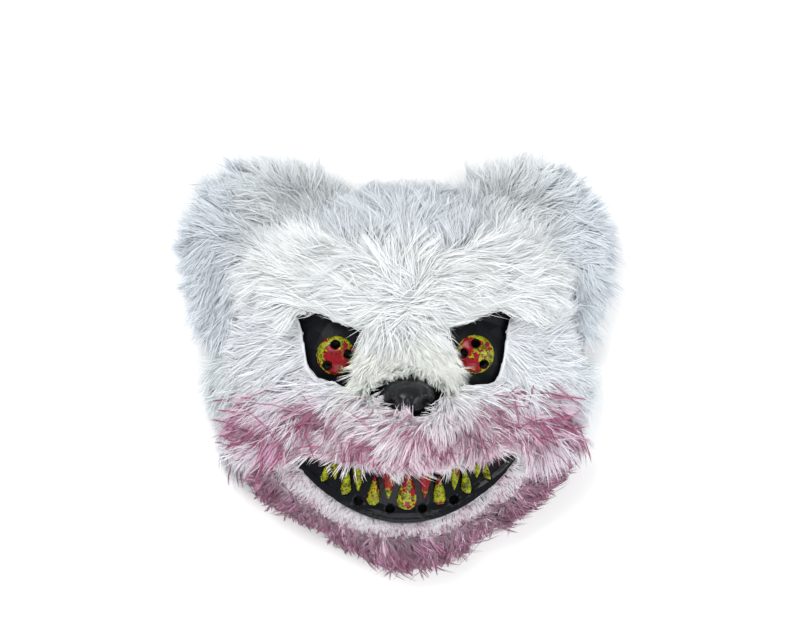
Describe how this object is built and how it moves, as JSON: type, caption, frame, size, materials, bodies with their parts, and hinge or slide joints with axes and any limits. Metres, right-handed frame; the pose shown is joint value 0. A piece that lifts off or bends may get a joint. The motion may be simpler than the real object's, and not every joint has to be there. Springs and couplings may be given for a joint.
{
  "type": "furry bear mask",
  "caption": "White plush bear mask on a hollow black moulded face shell, with ears, a grinning mouth of pointed teeth, painted eyes and an elastic head band.",
  "frame": {"origin": "bottom centre of the whole mask's box, on the plane of the shell's rim", "axes": "+Z the way the face looks, away from the wearer's head; +Y to the crown; +X to the right as seen from the front"},
  "size_m": [0.2982, 0.2806, 0.1157],
  "materials": {
    "bridge": "long white plush pile",
    "brow_left": "long white plush pile",
    "brow_right": "long white plush pile",
    "cheek_left": "white plush pile, stained pink below",
    "cheek_right": "white plush pile, stained pink below",
    "chin_plush": "short shaved white plush",
    "ear_left": "long white plush pile",
    "ear_right": "long white plush pile",
    "eye_left": "painted acid green with red splashes",
    "eye_right": "painted acid green with red splashes",
    "face_shell": "black moulded, satin",
    "forehead": "long white plush pile",
    "head_band": "white woven elastic",
    "jaw": "long white plush pile with maroon stain",
    "mouth": "black moulded, glossy",
    "muzzle": "white plush pile, faint pink",
    "nose": "black moulded, satin",
    "side_left": "long white plush pile",
    "side_right": "long white plush pile",
    "tooth_lower_back_left": "painted acid green with red splashes",
    "tooth_lower_back_right": "painted acid green with red splashes",
    "tooth_lower_middle": "painted acid green with red splashes",
    "tooth_lower_second_left": "painted acid green with red splashes",
    "tooth_lower_second_right": "painted acid green with red splashes",
    "tooth_lower_third_left": "painted acid green with red splashes",
    "tooth_lower_third_right": "painted acid green with red splashes",
    "tooth_upper_back_left": "painted acid green with red splashes",
    "tooth_upper_back_right": "painted acid green with red splashes",
    "tooth_upper_first_left": "painted acid green with red splashes",
    "tooth_upper_first_right": "painted acid green with red splashes",
    "tooth_upper_second_left": "painted acid green with red splashes",
    "tooth_upper_second_right": "painted acid green with red splashes"
  },
  "bodies": {
    "root": {"bridge": "bridge", "brow_left": "brow_left", "brow_right": "brow_right", "cheek_left": "cheek_left", "cheek_right": "cheek_right", "chin_plush": "chin_plush", "ear_left": "ear_left", "ear_right": "ear_right", "eye_left": "eye_left", "eye_right": "eye_right", "face_shell": "face_shell", "forehead": "forehead", "head_band": "head_band", "jaw": "jaw", "mouth": "mouth", "muzzle": "muzzle", "nose": "nose", "side_left": "side_left", "side_right": "side_right", "tooth_lower_back_left": "tooth_lower_back_left", "tooth_lower_back_right": "tooth_lower_back_right", "tooth_lower_middle": "tooth_lower_middle", "tooth_lower_second_left": "tooth_lower_second_left", "tooth_lower_second_right": "tooth_lower_second_right", "tooth_lower_third_left": "tooth_lower_third_left", "tooth_lower_third_right": "tooth_lower_third_right", "tooth_upper_back_left": "tooth_upper_back_left", "tooth_upper_back_right": "tooth_upper_back_right", "tooth_upper_first_left": "tooth_upper_first_left", "tooth_upper_first_right": "tooth_upper_first_right", "tooth_upper_second_left": "tooth_upper_second_left", "tooth_upper_second_right": "tooth_upper_second_right"}
  },
  "joints": []
}
